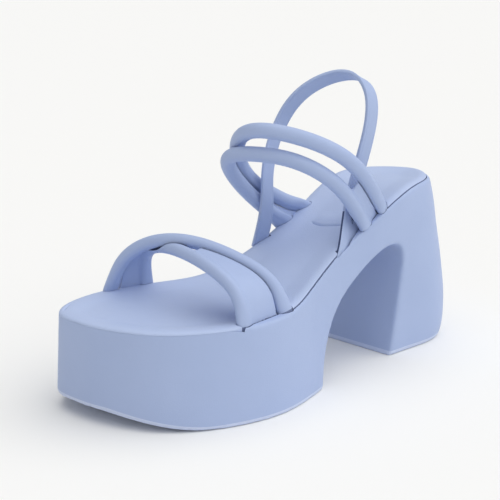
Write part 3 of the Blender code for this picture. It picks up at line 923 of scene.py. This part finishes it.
def shade_joint(thing, edge, line, reach):
    """Paints shade on a piece's faces along a cut round a tube's line, in the dark edge finish, because the
    gap there lies in shade.
    """
    if edge.name not in thing.data.materials:
        thing.data.materials.append(edge)
    dense = walk(line, np.arange(0.0, lengths_along(line)[-1], JOINT_STEP))
    tree = KDTree(len(dense))
    for place, point in enumerate(dense):
        tree.insert(point, place)
    tree.balance()
    for face in thing.data.polygons:
        centre = face.center / MM
        nearest, place, away = tree.find(centre)
        facing = face.normal.dot((nearest - centre).normalized())
        if abs(away - reach) < JOINT_SLACK and facing > JOINT_FACING:
            face.material_index = len(thing.data.materials) - 1


STRAPS = (
    # name, front tube, rear tube, diameter, panel lengths outside and inside, gap to the lip, solid
    ("toe", TOE_FRONT, TOE_REAR, TOE_TUBE, TOE_PANEL_OUTER, TOE_PANEL_INNER, 0.45, "toe_strap"),
    ("instep", INSTEP_FRONT, INSTEP_REAR, INSTEP_TUBE, INSTEP_PANEL_OUTER, INSTEP_PANEL_INNER, 0.06,
     "instep_strap"),
)
TUCKS = {"toe": 1.1, "instep": 0.9}  # gap round the rear tube, where the rest passes under it
JOINT_STEP = 0.3                     # between the points that stand for a tube's line
JOINT_SLACK = 0.15                   # how near a cut's surface a face lies to be one of its faces
JOINT_FACING = 0.7                   # and the least that it faces the tube's line


def build_straps(covering, joint_painted_shade, edge):
    """Each strap's front tube with its side panels, and its rear tube over them.

    Returns the bodies that notch the insole, that keep the wall's lip, and that notch the lip.
    """
    notches = []
    fills = []
    feet = []
    for name, rows_front, rows_rear, diameter, outer, inner, gap, node in STRAPS:
        front = carry_feet(route(rows_front, TUBE_STEP))
        rear = carry_feet(route(rows_rear, TUBE_STEP))
        thin = PANEL_THICKNESS / 2
        sides = [panel_edges(front, rear, lengths, turn, shifts)
                 for lengths, turn, shifts in zip((outer, inner), (1, -1), PANEL_SHIFTS[name])]
        bodies = [tube("front", front, diameter / 2)]
        bodies += [side_panel(edges, thin, thin, PANEL_HOLLOW) for edges in sides]
        low = merge_and_round(join(name + "_front_tube", bodies), STRAP_VOXEL, STRAP_ROUNDING)
        for line in MARKS[name]:
            press(low, line)
        combine(low, "DIFFERENCE", tube("tuck", rear, diameter / 2 + TUCKS[name], seam=False))
        high = tube(name + "_rear_tube", rear, diameter / 2)
        for thing in (low, high):
            finish_piece(cut_feet(thing), covering, "strap_cover", node)
            # the strap's faces below the rim line get painted shade
            shade_foot(thing, joint_painted_shade)
        # the faces cut under the rear tube get painted shade in the dark edge finish
        shade_joint(low, edge, rear, diameter / 2 + TUCKS[name])
        for bodies, grow in ((notches, NOTCH_GAP), (feet, gap)):
            bodies += [tube("notch", line, diameter / 2 + grow, seam=False) for line in (front, rear)]
            bodies += [side_panel(edges, thin + grow, thin + grow) for edges in sides]
        fills += [side_panel(edges, 0.0, NOTCH_DEPTH) for edges in sides]
        notches += [side_panel(edges, 0.0, NOTCH_DEPTH) for edges in sides]
    return notches, fills, feet


# ---- heel band ----
BAND_CORNER = 0.7                # radius of the band's edges
BAND_GAP = 0.22                  # between its foot and the wall's lip
BAND_FOOT = 22                   # points at its outer foot over which it widens to meet the tube
BAND_NOTCH_BACK = 0.8            # how far the insole's notch runs on behind the band
BAND_LIMIT = 14.0                # the most that it widens behind its middle
BAND_TURN = 0.32                 # how far the widened part turns outward, per length back
BAND_EDGE = 18                   # points at the outer foot along which the front edge gets painted shade
BAND_TUCK = 0.8                  # gap to the instep's front tube
BAND_GROOVE = (0.22, 1.3, 0.35)  # depth, distance from the edge and half width of its edge lines
BAND_POINTS = 24                 # across each of its faces
BAND_CORNER_POINTS = 5           # round each of its edges, with both ends


def band_frames(step):
    """Points along the heel band's middle, with the directions across it and out of it."""
    rows = route(SLING, step)
    points = carry_feet(rows[:, :3])
    shares = np.linspace(0, 1, len(points))
    angle = np.radians(np.interp(shares, np.linspace(0, 1, len(rows)), rows[:, 3]))
    lean = np.column_stack([np.zeros(len(angle)), -np.cos(angle), np.sin(angle)])
    along = unit(np.gradient(points, axis=0))
    across = unit(lean - np.sum(along * lean, axis=1)[:, None] * along)
    return points, across, np.cross(along, across)


def band_section(width, thickness):
    """The band's outline in section: round edges and a fine line along each of them."""
    half, thin = width / 2, thickness / 2
    depth, place, spread = BAND_GROOVE
    flat = np.linspace(-(half - BAND_CORNER), half - BAND_CORNER, BAND_POINTS)
    groove = depth * np.exp(-((half - np.abs(flat) - place) / spread) ** 2)
    face = thin - groove
    corner = []
    for turn in np.linspace(0.0, math.pi / 2, BAND_CORNER_POINTS)[1:-1]:
        corner.append((half - BAND_CORNER + BAND_CORNER * math.sin(turn),
                       thin - BAND_CORNER + BAND_CORNER * math.cos(turn)))
    right = corner + [(x, -y) for x, y in corner[::-1]]
    top = list(zip(flat, face))
    bottom = [(x, -y) for x, y in top[::-1]]
    left = [(-x, -y) for x, y in right]
    return np.array(top + right + bottom + left)


def width_to_tube(points, across, over):
    """How far behind each point the band meets a tube's line, seen from the side."""
    widths = []
    for point, side in zip(points, across):
        ahead = over[:, 1:] - point[1:]
        back = -side[1:]
        off = back[0] * ahead[:, 1] - back[1] * ahead[:, 0]
        reach = ahead @ back / (back @ back)
        turns = np.nonzero((off[:-1] * off[1:] <= 0.0) & (reach[:-1] > 0.0))[0]
        widths.append(reach[turns[0]] if len(turns) else 0.0)
    return np.array(widths)


def band_body(name, section):
    """The band along its route.  Its outer foot widens backward, under the instep's front tube."""
    points, across, out = band_frames(SLING_STEP)
    front, rear = section[:, 0].max(), section[:, 0].min()
    over = carry_feet(route(INSTEP_FRONT, TUBE_STEP))[:BAND_FOOT]
    wanted = np.zeros(len(points))
    wanted[:BAND_FOOT] = width_to_tube(points[:BAND_FOOT], across[:BAND_FOOT], over)
    widths = np.maximum(-rear, np.minimum(wanted, BAND_LIMIT))
    widths[:np.argmax(wanted > 0.0)] = BAND_LIMIT
    rings = []
    for point, side, up, width in zip(points, across, out, widths):
        wide = front + (section[:, :1] - front) * (front + width) / (front - rear)
        ring = point + wide * side + section[:, 1:] * up
        ring[:, :1] += BAND_TURN * np.clip(rear - wide, 0.0, None)
        rings.append(ring)
    return skin(name, rings)


def band_block(grow, back, inward, outward_by):
    """A plain block along the band, grown by a gap and further behind, for cuts and fills."""
    front = SLING_WIDTH / 2 + grow
    rear = -SLING_WIDTH / 2 - grow - back
    corners = [(rear, -inward), (front, -inward), (front, outward_by), (rear, outward_by)]
    return band_body("notch", np.array(corners))


def build_band(covering, edge):
    """The flat band round the back of the heel.  Returns the same kinds of bodies as the straps."""
    band = band_body("heel_band", band_section(SLING_WIDTH, SLING_THICKNESS))
    over = carry_feet(route(INSTEP_FRONT, TUBE_STEP))
    combine(band, "DIFFERENCE", tube("tuck", over, INSTEP_TUBE / 2 + BAND_TUCK, seam=False))
    finish_piece(cut_feet(band), covering, "heel_band", "sling_strap")
    # painted shade in the dark edge finish: on the faces cut round the instep's front tube, and on the
    # front edge of the outer foot
    shade_joint(band, edge, over, INSTEP_TUBE / 2 + BAND_TUCK)
    points, across = band_frames(SLING_STEP)[:2]
    shade_joint(band, edge, (points + across * SLING_WIDTH)[:BAND_EDGE], SLING_WIDTH / 2)
    thin = SLING_THICKNESS / 2
    notches = [band_block(NOTCH_GAP, BAND_NOTCH_BACK, thin + NOTCH_GAP, NOTCH_DEPTH)]
    fills = [band_block(0.0, BAND_NOTCH_BACK, 0.0, NOTCH_DEPTH)]
    feet = [band_block(BAND_GAP, 0.0, thin + BAND_GAP, thin + BAND_GAP)]
    return notches, fills, feet


# ---- finishes ----
FINISHES = {
    # light and dark tone, least and most roughness, the grain's cells per metre, its depth in metres
    "covering": ((0.406, 0.498, 0.738), (0.390, 0.482, 0.722), (0.46, 0.56), 1500.0, 0.00012),
    # the insole's tone: the covering's, painted lighter as a stand-in for the light on its upturned top
    "lining_painted_lighter": ((0.468, 0.560, 0.794), (0.452, 0.544, 0.779), (0.48, 0.58), 1300.0, 0.00012),
    # edge: a dark tone painted as shade into the gaps round the tubes and onto the band's front edge
    "edge": ((0.060, 0.085, 0.190), (0.050, 0.070, 0.165), (0.62, 0.72), 1500.0, 0.00008),
    # a dark tone painted as shade in the gaps: strap feet below the rim line and the insole's edge behind
    # the lip
    "joint_painted_shade": ((0.150, 0.190, 0.340), (0.130, 0.168, 0.305), (0.62, 0.72), 1500.0, 0.00008),
    "rubber": ((0.580, 0.655, 0.860), (0.565, 0.640, 0.845), (0.50, 0.60), 2600.0, 0.00005),
}
TONE_NOISE = (38.0, 3.0)       # scale per metre and detail of the change from tone to tone
ROUGH_NOISE = (260.0, 4.0)     # and of the change in roughness
FINE_NOISE = (1.7, 3.0, 0.35)  # scale against the grain's, detail and height of its finest part
NOISE_RANGE = (0.3, 0.7)       # the middle part of a noise that is spread over the whole range
GRAIN_STRENGTH = 0.35
SHINE = 0.4


def add_node(tree, kind, **inputs):
    node = tree.nodes.new(kind)
    for name, value in inputs.items():
        node.inputs[name.replace("_", " ")].default_value = value
    return node


def spread_over(tree, value, start, end, low, high):
    """A value between start and end, spread from low to high."""
    spread = add_node(tree, "ShaderNodeMapRange", From_Min=start, From_Max=end, To_Min=low, To_Max=high)
    tree.links.new(value, spread.inputs["Value"])
    return spread.outputs["Result"]


def mapped_noise(tree, place, scale, detail, low, high):
    """Noise of a given scale per metre, spread from low to high."""
    noise = add_node(tree, "ShaderNodeTexNoise", Scale=scale, Detail=detail)
    tree.links.new(place, noise.inputs["Vector"])
    return spread_over(tree, noise.outputs["Fac"], *NOISE_RANGE, low, high)


def leather(name, light, dark, roughness, grain, pores):
    """A soft covering of two near tones with a fine pebbled grain, as a row of FINISHES says."""
    material = bpy.data.materials.new(name)
    material.use_nodes = True
    tree = material.node_tree
    shader = tree.nodes["Principled BSDF"]
    place = tree.nodes.new("ShaderNodeTexCoord").outputs["Object"]
    tone = mapped_noise(tree, place, *TONE_NOISE, 0.0, 1.0)
    mix = tree.nodes.new("ShaderNodeMix")
    mix.data_type = "RGBA"
    mix.inputs["A"].default_value = (*dark, 1.0)
    mix.inputs["B"].default_value = (*light, 1.0)
    tree.links.new(tone, mix.inputs["Factor"])
    tree.links.new(mix.outputs["Result"], shader.inputs["Base Color"])
    rough = mapped_noise(tree, place, *ROUGH_NOISE, *roughness)
    tree.links.new(rough, shader.inputs["Roughness"])
    cells = add_node(tree, "ShaderNodeTexVoronoi", Scale=grain)
    cells.feature = "SMOOTH_F1"
    tree.links.new(place, cells.inputs["Vector"])
    share, detail, height = FINE_NOISE
    fine = mapped_noise(tree, place, grain * share, detail, -height, height)
    total = tree.nodes.new("ShaderNodeMath")
    tree.links.new(cells.outputs["Distance"], total.inputs[0])
    tree.links.new(fine, total.inputs[1])
    bump = add_node(tree, "ShaderNodeBump", Strength=GRAIN_STRENGTH, Distance=pores)
    tree.links.new(total.outputs["Value"], bump.inputs["Height"])
    tree.links.new(bump.outputs["Normal"], shader.inputs["Normal"])
    shader.inputs["Specular IOR Level"].default_value = SHINE
    return material


# ---- stage ----
FLOOR_SIDE = 80.0  # metres
FLOOR_TONE = (0.932, 0.930, 0.916)
FLOOR_ROUGHNESS = 0.9
FLOOR_SHINE = 0.1
SKY = (1.0, 1.0, 1.0)
SKY_STRENGTH = 0.37
BACKDROP_STRENGTH = 0.85       # of the sky near the horizon, where it meets the floor
BACKDROP_RISE = (0.03, 0.16)   # rise between which the backdrop fades into the sky
SUN_FROM = (0.32, 0.26, 0.91)  # direction that the soft key light comes from
SUN_SPREAD = 100.0             # degrees
SUN_STRENGTH = 2.22


def build_floor():
    mesh = bpy.data.meshes.new("floor")
    half = FLOOR_SIDE / 2
    corners = [(-half, -half, 0.0), (half, -half, 0.0), (half, half, 0.0), (-half, half, 0.0)]
    mesh.from_pydata(corners, [], [(0, 1, 2, 3)])
    floor = bpy.data.objects.new("floor", mesh)
    bpy.context.scene.collection.objects.link(floor)
    material = bpy.data.materials.new("floor")
    material.use_nodes = True
    shader = material.node_tree.nodes["Principled BSDF"]
    shader.inputs["Base Color"].default_value = (*FLOOR_TONE, 1.0)
    shader.inputs["Roughness"].default_value = FLOOR_ROUGHNESS
    shader.inputs["Specular IOR Level"].default_value = FLOOR_SHINE
    mesh.materials.append(material)


def build_lights():
    """A white sky, paler near the horizon, and one wide soft light."""
    world = bpy.data.worlds.new("studio")
    world.use_nodes = True
    tree = world.node_tree
    sky = tree.nodes["Background"]
    sky.inputs["Color"].default_value = (*SKY, 1.0)
    place = tree.nodes.new("ShaderNodeTexCoord")
    split = tree.nodes.new("ShaderNodeSeparateXYZ")
    tree.links.new(place.outputs["Generated"], split.inputs["Vector"])
    strength = spread_over(tree, split.outputs["Z"], *BACKDROP_RISE, BACKDROP_STRENGTH, SKY_STRENGTH)
    tree.links.new(strength, sky.inputs["Strength"])
    bpy.context.scene.world = world
    lamp = bpy.data.lights.new("key", "SUN")
    lamp.energy = SUN_STRENGTH
    lamp.angle = math.radians(SUN_SPREAD)
    thing = bpy.data.objects.new("key", lamp)
    thing.rotation_euler = (-Vector(SUN_FROM)).to_track_quat("-Z", "Y").to_euler()
    bpy.context.scene.collection.objects.link(thing)


def build_camera():
    lens = bpy.data.cameras.new("camera")
    lens.lens = CAMERA_LENS
    camera = bpy.data.objects.new("camera", lens)
    camera.location = CAMERA_PLACE
    turn = Vector(CAMERA_AIM).to_track_quat("-Z", "Y").to_matrix()
    camera.rotation_euler = (turn @ Matrix.Rotation(math.radians(CAMERA_ROLL), 3, "Z")).to_euler()
    bpy.context.scene.collection.objects.link(camera)
    bpy.context.scene.camera = camera


# ---- build ----
def main():
    build_camera()
    build_lights()
    build_floor()
    # edge is a dark tone painted as shade in the gaps round the tubes
    # joint_painted_shade is a dark tone painted as shade where straps and insole meet the wall
    # the insole's tone is the covering's, painted lighter for the light falling on it
    covering, lining_painted_lighter, edge, joint_painted_shade, rubber = (leather(name, *row) for name, row in FINISHES.items())
    straps = build_straps(covering, joint_painted_shade, edge)
    band = build_band(covering, edge)
    notches, fills, feet = (first + second for first, second in zip(straps, band))
    build_insole(lining_painted_lighter, joint_painted_shade, notches)
    build_sole(covering, rubber, fills, feet)
    bpy.context.scene.view_settings.view_transform = "Standard"


main()
